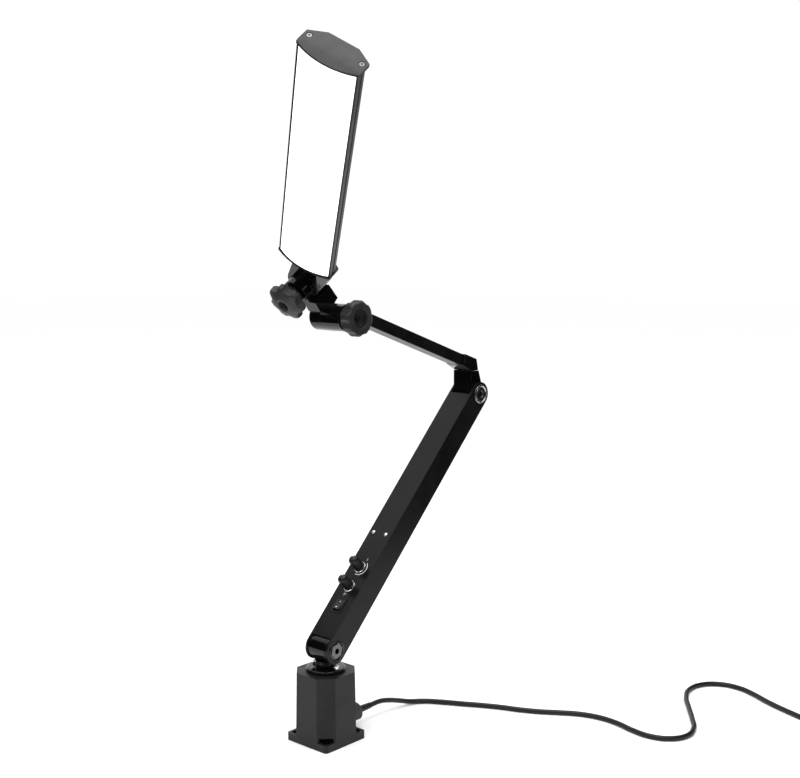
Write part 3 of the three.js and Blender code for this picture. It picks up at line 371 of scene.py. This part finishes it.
# ---------------------------------------------------------------- mains lead
CORD_D = 6.5
COIL_AT = (477.5, -476)
LIE = 3.3
lead_points = [
    (80.3, 0, 20), (98, 0, 20), (117, 0, 16), (137, 0, 9.6), (154, -3, 4.4),
    (169, -13, LIE), (182, -32, LIE), (195, -56, LIE), (208, -79, LIE),
    (220, -103, LIE), (230, -128, LIE), (242, -151, LIE), (256, -172, LIE),
    (269, -194, LIE), (276, -219, LIE), (275, -247, LIE), (268, -274, LIE),
    (266, -300, LIE), (276, -322, LIE), (297, -333, LIE), (324, -328, LIE),
    (353, -310, LIE), (384, -288, LIE), (415, -267, LIE), (444, -256, LIE),
    (472, -260, LIE), (490, -279, LIE), (493, -305, LIE), (484, -331, LIE),
    (472, -354, LIE), (462, -377, LIE), (454, -399, LIE), (447, -420, LIE),
    (443, -438, LIE + 0.6), (441.75, -453.5, LIE + 1.1),
]
STEPS_A_TURN = 16
OUTER_R = 35.75
INNER_R = 29.25
LOW_Z = 4.45
HIGH_Z = 10.95
# Each stretch of the coil: turns, radius and height at its start, radius and height at its end.
COIL_STRETCHES = [
    (1.0, OUTER_R, LOW_Z, OUTER_R, LOW_Z),
    (0.25, OUTER_R, LOW_Z, INNER_R, LOW_Z),
    (0.75, INNER_R, LOW_Z, INNER_R, LOW_Z),
    (0.25, INNER_R, LOW_Z, INNER_R, HIGH_Z),
    (0.75, INNER_R, HIGH_Z, INNER_R, HIGH_Z),
    (0.25, INNER_R, HIGH_Z, OUTER_R, HIGH_Z),
    (1.0, OUTER_R, HIGH_Z, OUTER_R, HIGH_Z),
]
COIL_START = 180


def coil_points():
    """The centre line of the coil's turns, easing from each ring or layer to the next."""
    points = []
    start = COIL_START
    for turns, first_r, first_z, last_r, last_z in COIL_STRETCHES:
        steps = round(turns * STEPS_A_TURN)
        for k in range(steps):
            part = k / steps
            ease = part * part * (3 - 2 * part)
            radius = first_r + (last_r - first_r) * ease
            height = first_z + (last_z - first_z) * ease
            angle = math.radians(start + 360 * turns * part)
            points.append((
                COIL_AT[0] + radius * math.cos(angle), COIL_AT[1] + radius * math.sin(angle), height,
            ))
        start += 360 * turns
    return points


TAIL_Y = COIL_AT[1] - OUTER_R
lead_points += coil_points()
lead_points += [
    (COIL_AT[0], TAIL_Y, HIGH_Z), (493, TAIL_Y, HIGH_Z - 0.7), (508, TAIL_Y, 7.9), (519.4, TAIL_Y, 6.9),
]
lead_curve = bpy.data.curves.new("mains_lead", "CURVE")
lead_curve.dimensions = "3D"
lead_curve.resolution_u = 6
lead_curve.bevel_depth = CORD_D / 2 * MM
lead_curve.bevel_resolution = 5
lead_curve.use_fill_caps = True
spline = lead_curve.splines.new("BEZIER")
spline.bezier_points.add(len(lead_points) - 1)
for bezier, point in zip(spline.bezier_points, lead_points):
    bezier.co = Vector(point) * MM
    bezier.handle_left_type = "AUTO"
    bezier.handle_right_type = "AUTO"
lead = bpy.data.objects.new("mains_lead", lead_curve)
bpy.context.collection.objects.link(lead)
lead_curve.materials.append(RUBBER)
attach(lead, "base")
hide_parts("cable_lead", "cable_coil", "cable_tail")
refined("cable_tie", "moulded_black", 0.3)
refined("plug_body", "moulded_black", 1.2)
refined("plug_pin_1", "bright_steel", 0.3)
refined("plug_pin_2", "bright_steel", 0.3)

# ---------------------------------------------------------------- pieces that keep the CAD's own shape
REFINED = {
    "base_housing": ("cast_black", 0.9), "base_bottom_plate": ("dark_steel", 0.4),
    "base_terminal_block": ("board_white", 0.3), "swivel_bushing": ("bronze", 0.3),
    "swivel_lock_ring": ("dark_steel", 0.1), "cable_gland_body": ("moulded_black", 0.4),
    "cable_gland_nut": ("moulded_black", 0.5), "lower_arm_tube": ("sheet_black", 0.7),
    "friction_disc_1": ("friction_grey", 0.2), "friction_disc_2": ("friction_grey", 0.2),
    "rocker_housing": ("moulded_black", 0.35), "rocker_key": ("moulded_black", 0.45),
    "driver_board": ("board_green", 0), "elbow_block": ("gloss_black", 0.8),
    "upper_arm_end_piece": ("gloss_black", 0.7), "upper_arm_tube": ("sheet_black", 0.9),
    "tilt_knuckle": ("gloss_black", 0.7), "head_bracket": ("gloss_black", 1.1),
    "head_link": ("gloss_black", 0.7), "diffuser": ("opal_white", 0.2), "led_board": ("board_white", 0),
    "end_cap_bottom": ("cast_black", 0.7), "end_cap_top": ("cast_black", 0.7),
    "dimmer_pot": ("dark_steel", 0.2), "tone_pot": ("dark_steel", 0.2), "tilt_stud": ("dark_steel", 0.2),
    "rotate_stud": ("dark_steel", 0.2), "elbow_swivel_pin": ("bright_steel", 0.3),
}
for node, (slot, bevel) in REFINED.items():
    refined(node, slot, bevel)

# ---------------------------------------------------------------- flange and post
GAP = 0.3
FLANGE_R = 24.5
FLANGE_SEAT = 89
FLANGE_TOP = 93.5
FLANGE_BORE_R = 13
SPIGOT_R = 14.2
SPIGOT_BOTTOM = 79
FLANGE_SCREW_AT = 17.5
NECK_R = 10
POST_BOTTOM = 74
RING_GROOVE_R = 9
RING_GROOVE = (75.7, 77.9)
HUB_R = 13
HUB_BOTTOM = FLANGE_TOP + GAP
HUB_TOP = 102
BARREL_R = 16.2
BARREL_HALF = 14.5

piece("flange", [lathe([
    (FLANGE_BORE_R, SPIGOT_BOTTOM), (SPIGOT_R, SPIGOT_BOTTOM), (SPIGOT_R, FLANGE_SEAT),
    (FLANGE_R, FLANGE_SEAT), (FLANGE_R, FLANGE_TOP - 1.9), (FLANGE_R - 0.6, FLANGE_TOP - 0.9),
    (FLANGE_R - 1.9, FLANGE_TOP - 0.2), (FLANGE_R - 3.1, FLANGE_TOP), (FLANGE_BORE_R, FLANGE_TOP),
    (FLANGE_BORE_R, SPIGOT_BOTTOM),
], sides=96)], WORLD, "base", ["swivel_flange"], GLOSS, bevel=0.25)
neck = lathe([
    (0, POST_BOTTOM), (NECK_R, POST_BOTTOM), (NECK_R, RING_GROOVE[0]), (RING_GROOVE_R, RING_GROOVE[0]),
    (RING_GROOVE_R, RING_GROOVE[1]), (NECK_R, RING_GROOVE[1]), (NECK_R, HUB_BOTTOM),
    (HUB_R - 0.8, HUB_BOTTOM), (HUB_R, HUB_BOTTOM + 0.8), (HUB_R, HUB_TOP - 3), (HUB_R + 0.4, HUB_TOP),
    (0, HUB_TOP),
], sides=72)
barrel = lathe([
    (0, -BARREL_HALF), (12.6, -BARREL_HALF), (12.8, 0.2 - BARREL_HALF), (BARREL_R - 0.8, 0.2 - BARREL_HALF),
    (BARREL_R, 1.1 - BARREL_HALF), (BARREL_R, BARREL_HALF - 3.3), (BARREL_R - 1, BARREL_HALF - 2.5),
    (BARREL_R - 1, BARREL_HALF - 1.3), (BARREL_R - 0.3, BARREL_HALF - 0.7), (BARREL_R - 0.8, BARREL_HALF),
    (0, BARREL_HALF),
], "y", (0, 0, PIVOT_Z), sides=96)
piece("post", [neck, barrel], WORLD, "turret", ["swivel_post"], GLOSS, bevel=0.3)
for k, side in enumerate((-1, 1)):
    socket_screw = lathe([
        (0, 0.2), (1.9, 0.2), (1.9, 1.6), (2.1, 3.3), (2.6, 3.4), (3.6, 3.4), (4, 2.9), (4, 0), (2, 0),
        (2, -12), (0, -12),
    ], sides=48)
    place = Matrix.Translation((0, FLANGE_SCREW_AT * side, HUB_BOTTOM))
    piece(f"flange_screw_{k + 1}_fine", [socket_screw], place, "base", [f"flange_screw_{k + 1}"], BRIGHT,
          bevel=0.12)

# ---------------------------------------------------------------- pivot screws
CAP_IN = 17.55
CAP_OUT = 19.75
CAP_R = 12.5
SEAT = CAP_OUT - 1.6
HEAD_FLATS = 17
SOCKET_FLATS = 7
SHANK_R = 5
SHANK_HALF = 17
ROUND_HEAD = [
    (0, CAP_IN), (CAP_R, CAP_IN), (CAP_R, CAP_OUT - 0.9), (CAP_R - 0.6, CAP_OUT - 0.2),
    (CAP_R - 1.5, CAP_OUT - 0.2), (CAP_R - 2.1, CAP_OUT - 0.8), (CAP_R - 2.9, CAP_OUT - 0.8),
    (CAP_R - 3.3, CAP_OUT), (5.1, CAP_OUT), (4.9, CAP_OUT - 0.3), (4.6, CAP_OUT - 1.7), (0, CAP_OUT - 1.7),
]
HEXAGON_SEAT = [
    (0, CAP_IN), (CAP_R, CAP_IN), (CAP_R, CAP_OUT - 0.9), (CAP_R - 0.6, CAP_OUT - 0.2),
    (CAP_R - 1.3, CAP_OUT - 0.2), (CAP_R - 1.7, SEAT), (0, SEAT),
]
RIM_RING = [
    (10.2, CAP_OUT - 0.75), (12.45, CAP_OUT - 0.75), (12.45, CAP_OUT - 0.3), (11.7, CAP_OUT + 0.1),
    (11, CAP_OUT + 0.1), (10.2, CAP_OUT - 0.5), (10.2, CAP_OUT - 0.75),
]


def across_y(profile, side):
    """A profile turned round the y axis, on the side of y that side gives."""
    return lathe([(r, h * side) for r, h in profile], "y", sides=96)


def hexagon_ring(outer, inner, span):
    """A hexagonal head with a hexagonal socket, given by their widths across flats."""
    corner = 2 * math.cos(math.radians(30))
    outline = arc((0, 0), outer / corner, 30, 390, 6) + arc((0, 0), inner / corner, 390, 30, 6)
    return prism(outline, span, "y")


def pivot_screw(name, frame_of, covers, ringed):
    """A cap on each side of one shank: a round head with a bright rim, or a hexagon in a black seat."""
    shapes = []
    for side in (-1, 1):
        shapes.append(across_y(ROUND_HEAD if ringed else HEXAGON_SEAT, side))
        if not ringed:
            shapes.append(hexagon_ring(HEAD_FLATS, SOCKET_FLATS, (SEAT * side, CAP_OUT * side)))
    shank = [(0, -SHANK_HALF), (SHANK_R, -SHANK_HALF), (SHANK_R, SHANK_HALF), (0, SHANK_HALF)]
    shapes.append(lathe(shank, "y"))
    piece(name, shapes, frame_of, "lower_arm", covers, DARK, bevel=0.12)
    for side in (-1, 1):
        metal = BRIGHT if ringed else GLOSS
        piece(f"{name}_ring_{side + 2}", [across_y(RIM_RING, side)], frame_of, "lower_arm", [], metal,
              bevel=0.1)


pivot_screw("lower_pivot", ARM, ["lower_pivot_bolt", "lower_pivot_nut"], False)
pivot_screw("elbow_pivot", ELBOW, ["elbow_bolt", "elbow_nut"], True)

# ---------------------------------------------------------------- controls
FACE = 16.5
KNOB_X = {"dimmer": 79, "tone": 107}
KNOB_LOW = 19.2
KNOB_HIGH = 38.7
SKIRT_R = 7
GRIP_R = 6.2
GRIPS = 24
PANEL_SCREW_AT = (159, 10.5)
ROCKER_X = 52
ROCKER_AXIS = 15


def ribbed(radius, angle):
    """A knob's skirt has fine grips; its dome is round."""
    return radius - 0.16 * (1 + math.cos(GRIPS * angle)) if radius > GRIP_R else radius


for name, x in KNOB_X.items():
    place = ARM @ Matrix.Translation((x, 0, 0))
    knob = lathe([
        (3.4, KNOB_LOW), (SKIRT_R, KNOB_LOW), (SKIRT_R, KNOB_LOW + 1.6), (6.5, KNOB_LOW + 2),
        (6.4, KNOB_HIGH - 5.4), (6.1, KNOB_HIGH - 3.6), (5.5, KNOB_HIGH - 2.1), (4.4, KNOB_HIGH - 0.9),
        (2.6, KNOB_HIGH - 0.2), (0, KNOB_HIGH),
    ], sides=144, radius_at=ribbed)
    piece(f"{name}_knob_fine", [knob], place, name, [f"{name}_knob"], MOULDED, bevel=0)
    pointer = prism([
        (6.55, KNOB_HIGH - 6), (6.3, KNOB_HIGH - 3.5), (5.65, KNOB_HIGH - 1.95), (4.5, KNOB_HIGH - 0.72),
        (2.7, KNOB_HIGH - 0.02), (2.5, KNOB_HIGH - 0.5), (4.2, KNOB_HIGH - 1.3), (5.9, KNOB_HIGH - 3.6),
        (6.1, KNOB_HIGH - 6),
    ], (-0.5, 0.5), "y")
    piece(f"{name}_pointer", [pointer], place, name, [], PRINT, bevel=0)
    collar = lathe([
        (3.5, FACE + GAP), (8, FACE + GAP), (8, FACE + 1.5), (7.5, FACE + 2.3), (3.5, FACE + 2.3),
        (3.5, FACE + GAP),
    ], sides=64)
    piece(f"{name}_collar", [collar], place, "lower_arm", [f"{name}_pot_nut"], BRIGHT,
          bevel=0.12)

for k, side in enumerate((-1, 1)):
    screw = lathe([
        (0, -7.5), (1.4, -7.5), (1.4, 0), (2.7, 0), (2.65, 0.5), (2.3, 1.15), (1.5, 1.6), (0, 1.8),
    ], sides=40)
    place = ARM @ Matrix.Translation((PANEL_SCREW_AT[0], PANEL_SCREW_AT[1] * side, FACE + GAP))
    piece(f"panel_screw_{k + 1}_fine", [screw], place, "lower_arm", [f"panel_screw_{k + 1}"], BRIGHT,
          bevel=0)

# ---------------------------------------------------------------- printed marks
PRINTED = (FACE - 0.02, FACE + 0.04)
SUN = (68.3, 1.5)
RAYS = 8


def band(centre, inner, outer, start, end, steps=40):
    """A flat printed arc."""
    outline = arc(centre, outer, start, end, steps) + arc(centre, inner, end, start, steps)
    return prism(outline, PRINTED)


def sun():
    """A small ring with short rays round it."""
    shapes = [band(SUN, 0.95, 1.15, 0, 360, 24)]
    ray, faces = block((2.2, 3.2), (-0.1, 0.1), PRINTED)
    for k in range(RAYS):
        spin = Matrix.Translation((*SUN, 0)) @ turn(360 / RAYS * k, "Z")
        shapes.append(([spin @ Vector(p) for p in ray], faces))
    return shapes


marks = [band((KNOB_X["tone"], 0), 9.6, 10.5, 165, 320), block((118.2, 121.4), (-4.1, -3.6), PRINTED)]
piece("printed_marks", marks + sun(), ARM, "lower_arm", [], PRINT, bevel=0)
key_marks = [
    prism([(-5.2, 5.02), (-3.6, 4.57), (-3.6, 4.4), (-5.2, 4.8)], (-0.9, 0.9), "y"),
    prism([(3, 3.16), (5, 2.95), (5, 2.8), (3, 2.9)], (-0.3, 0.3), "y"),
]
key_top = ARM @ Matrix.Translation((ROCKER_X, 0, ROCKER_AXIS))
piece("rocker_marks", key_marks, key_top, "rocker", [], PRINT, bevel=0)

# ---------------------------------------------------------------- head hinge
CAP_FACE = 6.5
WASHER_Y = (-29.9, -28.3)
TILT_KNOB_R = 21.5
TILT_KNOB_FRONT = -50
TILT_KNOB_BACK = WASHER_Y[0] - GAP
ROTATE_KNOB_R = 23.8
ROTATE_KNOB_FRONT = -34.6
ROTATE_KNOB_BACK = -10


def lobed(lobes, scallop_r, scallop_at, rim):
    """The rim of a hand knob: round scallops cut between its lobes, with softened corners."""
    hub = rim * 0.62
    corner = 0.9
    step = 2 * math.pi / lobes

    def radius_at(radius, angle):
        if radius < hub:
            return radius
        off = (angle - step / 2 + math.pi * 4) % step
        off = min(off, step - off)
        inside = scallop_r ** 2 - (scallop_at * math.sin(off)) ** 2
        if inside <= 0:
            return radius
        edge = scallop_at * math.cos(off) - math.sqrt(inside)
        near = max(corner - abs(radius - edge), 0) / corner
        return min(radius, edge) - near ** 2 * corner * 0.25
    return radius_at


piece("tilt_cap", [lathe([
    (0, CAP_FACE - 0.9), (7.4, CAP_FACE - 0.9), (7.4, CAP_FACE), (16.2, CAP_FACE), (16.3, CAP_FACE + 0.8),
    (16, CAP_FACE + 1.8), (15.2, CAP_FACE + 2.7), (13.8, CAP_FACE + 3.3), (12, CAP_FACE + 3.7),
    (0, CAP_FACE + 4),
], "y", sides=96)], LINK, "head_link", ["tilt_end_cap"], GLOSS, bevel=0.15)
piece("tilt_washer_fine", [lathe([
    (4.4, WASHER_Y[0]), (14, WASHER_Y[0]), (14, WASHER_Y[1]), (4.4, WASHER_Y[1]), (4.4, WASHER_Y[0]),
], "y", (0, -TILT_Y, 0), sides=72)], LINK, "head_link", ["tilt_washer"], DARK, bevel=0.2)


def tilt_knob():
    rim, front, back = TILT_KNOB_R, TILT_KNOB_FRONT, TILT_KNOB_BACK
    return lathe([
        (0, front + 8.6), (3.6, front + 8.6), (3.6, front + 7.4), (10.4, front + 7.4), (11.3, front + 6.6),
        (11.5, front + 1), (12.3, front), (rim - 3.4, front), (rim - 2, front + 0.5),
        (rim - 0.8, front + 1.5), (rim, front + 3.1), (rim, back - 8.4), (rim - 0.7, back - 7),
        (rim - 1.9, back - 5.8), (rim - 3.6, back - 4.9), (12.5, back - 3.4), (12.5, back), (4.4, back),
    ], "y", (0, -TILT_Y, 0), sides=192, radius_at=lobed(8, scallop_r=7.5, scallop_at=26.6, rim=rim))


def rotate_knob():
    rim, front, back = ROTATE_KNOB_R, ROTATE_KNOB_FRONT, ROTATE_KNOB_BACK
    return lathe([
        (4.4, front + 5.2), (5.9, front + 5), (6.4, front + 1), (7.4, front), (10.5, front),
        (15, front + 1.6), (rim - 3.4, front + 3.7), (rim - 1.4, front + 4.7), (rim - 0.4, front + 5.9),
        (rim, front + 7.4), (rim, front + 12.2), (rim - 0.9, front + 13.7), (rim - 2.6, front + 14.7),
        (15, back - 7.6), (13.2, back - 5.6), (12, back - 2.1), (8, back - 2.1), (8, back), (4.4, back),
    ], "x", sides=192, radius_at=lobed(7, scallop_r=9.5, scallop_at=28.2, rim=rim))


piece("tilt_knob_fine", [tilt_knob()], LINK, "tilt_clamp_knob", ["tilt_knob"], KNOB,
      bevel=0)
piece("rotate_knob_fine", [rotate_knob()], HEAD, "rotate_clamp_knob", ["rotate_knob"], KNOB,
      bevel=0)

# ---------------------------------------------------------------- screws of the end caps
CAP_SCREW_X = 16.8
CAP_SCREW_Y = 30
PANEL_START = 40
PANEL_END = 360

for end, z, way in (("bottom", PANEL_START, 180), ("top", PANEL_END, 0)):
    for k, side in enumerate((-1, 1)):
        place = HEAD @ Matrix.Translation((CAP_SCREW_X, CAP_SCREW_Y * side, z)) @ turn(way, "X")
        screw = lathe([
            (0, -12), (1.4, -12), (1.4, -1.5), (3, -1.5), (3, -0.6), (2.5, -0.3), (1.3, -0.25),
            (1.15, -1.1), (0, -1.1),
        ], sides=32)
        name = f"cap_screw_{end}_{k + 1}"
        piece(f"{name}_fine", [screw], place, "head", [name], DARK, bevel=0)

# ---------------------------------------------------------------- panel housing
CAP_THICKNESS = 4.3
# Half of the profile, as depth and half width, with a groove along the side.
SHELL = [
    (3.3, 35), (8.2, 35), (8.8, 34.1), (10.4, 34.1), (11, 35), (15.2, 35), (16.4, 34.6), (30.1, 18.6),
    (30.8, 17.4),
]
LINING = [(3.3, 33), (14.9, 33), (28.9, 17)]


def mirrored(points):
    return points + [(x, -y) for x, y in reversed(points)]


shell_outline = mirrored(SHELL) + mirrored(LINING)[::-1]
shell_span = (PANEL_START + CAP_THICKNESS, PANEL_END - CAP_THICKNESS)
piece("housing_fine", [prism(shell_outline, shell_span)], HEAD, "head", ["panel_housing"], SHEET,
      bevel=0.25, segments=2)

# ---------------------------------------------------------------- gland
GLAND_Z = 20
RIBS_START = 58
RIBS = 22
ribs = [(4.6 - 0.035 * k - (0.35 if k % 2 else 0), RIBS_START + k) for k in range(RIBS)]
relief = [(0, 47.4), (7.3, 47.4), (7.3, 49.5), (4.6, 49.6)] + ribs + [(3.7, 80), (0, 80)]
piece("strain_relief_fine", [lathe(relief, "x", (0, 0, GLAND_Z), sides=40)], WORLD, "base",
      ["strain_relief"], RUBBER, bevel=0)

# ---------------------------------------------------------------- floor and light
WHITE_LIGHT = 1.06
FLOOR_TONE = 0.93
FLOOR_HALF = 9

world = bpy.data.worlds.new("studio")
world.use_nodes = True
backdrop = world.node_tree.nodes["Background"]
backdrop.inputs["Color"].default_value = (1, 1, 1, 1)
backdrop.inputs["Strength"].default_value = WHITE_LIGHT
bpy.context.scene.world = world

floor_finish = Finish("pale floor")
floor_finish.set(Base_Color=(FLOOR_TONE, FLOOR_TONE, FLOOR_TONE, 1), Roughness=0.7)
floor_mesh = bpy.data.meshes.new("floor")
corners = [(FLOOR_HALF * x, FLOOR_HALF * y, 0) for x, y in ((-1, -1), (1, -1), (1, 1), (-1, 1))]
floor_mesh.from_pydata(corners, [], [(0, 1, 2, 3)])
floor_mesh.materials.append(floor_finish.material)
floor = bpy.data.objects.new("floor", floor_mesh)
bpy.context.collection.objects.link(floor)


def dark_wall(name, radius, start, end, low, high):
    """The dark side of the studio, a curved sheet that only the gloss of the near faces mirrors."""
    steps = 48
    mesh = bpy.data.meshes.new(name)
    points = []
    for k in range(steps + 1):
        angle = math.radians(start + (end - start) * k / steps)
        points += [(radius * math.cos(angle), radius * math.sin(angle), z) for z in (low, high)]
    mesh.from_pydata(points, [], [(2 * k, 2 * k + 2, 2 * k + 3, 2 * k + 1) for k in range(steps)])
    black = Finish(name)
    black.set(Base_Color=(0.001, 0.001, 0.001, 1), Roughness=1.0)
    black.shader.inputs["Specular IOR Level"].default_value = 0
    mesh.materials.append(black.material)
    wall = bpy.data.objects.new(name, mesh)
    wall.visible_camera = False
    wall.visible_diffuse = False
    wall.visible_shadow = False
    bpy.context.collection.objects.link(wall)


def softbox(name, place, towards, size, power):
    """A soft rectangular lamp aimed at a point."""
    data = bpy.data.lights.new(name, "AREA")
    data.shape = "RECTANGLE"
    data.size, data.size_y = size
    data.energy = power
    light = bpy.data.objects.new(name, data)
    light.location = place
    light.rotation_euler = (Vector(towards) - Vector(place)).to_track_quat("-Z", "Y").to_euler()
    bpy.context.collection.objects.link(light)


dark_wall("dark wall", radius=0.72, start=92, end=350, low=0.05, high=0.76)
softbox("key", place=(-1.6, 0.6, 1.9), towards=(0.1, 0, 0.4), size=(1.2, 1.2), power=9)
softbox("top", place=(-0.1, -0.3, 2.3), towards=(0, 0, 0.4), size=(1.5, 1.5), power=34)
